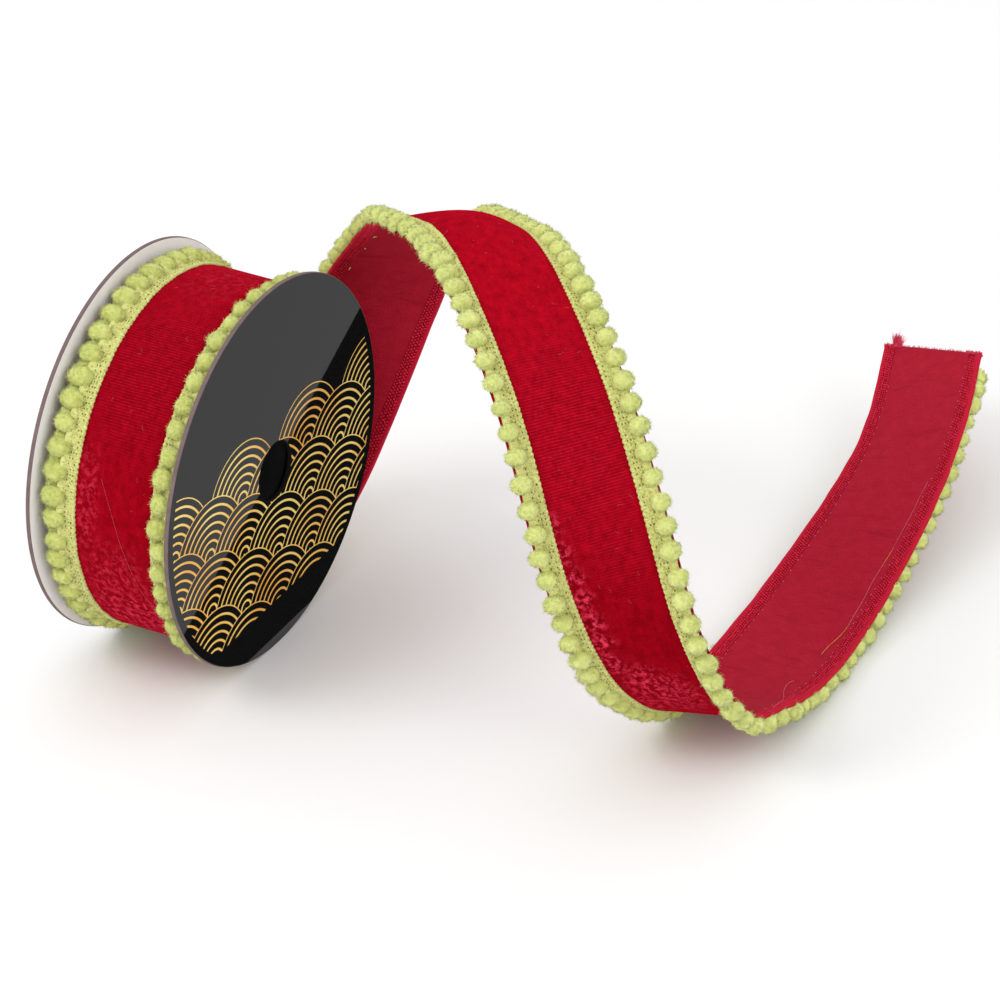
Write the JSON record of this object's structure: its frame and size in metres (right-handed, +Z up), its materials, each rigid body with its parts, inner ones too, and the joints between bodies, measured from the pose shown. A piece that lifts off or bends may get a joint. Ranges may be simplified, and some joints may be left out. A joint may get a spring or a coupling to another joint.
{
  "type": "roll of pompom trim on a card spool",
  "caption": "Card spool of red velvet ribbon edged with lime pompom tape, its loose end arching out of the roll and lying back in a trough.",
  "frame": {"origin": "middle of the box's underside, on the floor that the spool stands on", "axes": "+Z up, +X along the spool's axis from the white flange to the black one, +Y towards the rear where the cut end lies"},
  "size_m": [0.3104, 0.3958, 0.2072],
  "materials": {
    "black_card": "coated black board, semi-gloss, printed in gold",
    "white_card": "uncoated white board",
    "red_velvet": "cut pile velvet with a plain woven back",
    "lime_yarn": "open woven tape and cut yarn pompoms"
  },
  "bodies": {
    "root": {"flange_front": "black_card", "flange_back": "white_card", "ribbon_roll": "red_velvet", "ribbon_tail": "red_velvet", "trim_roll_front": "lime_yarn", "trim_roll_back": "lime_yarn", "trim_tail_front": "lime_yarn", "trim_tail_back": "lime_yarn"}
  },
  "joints": []
}
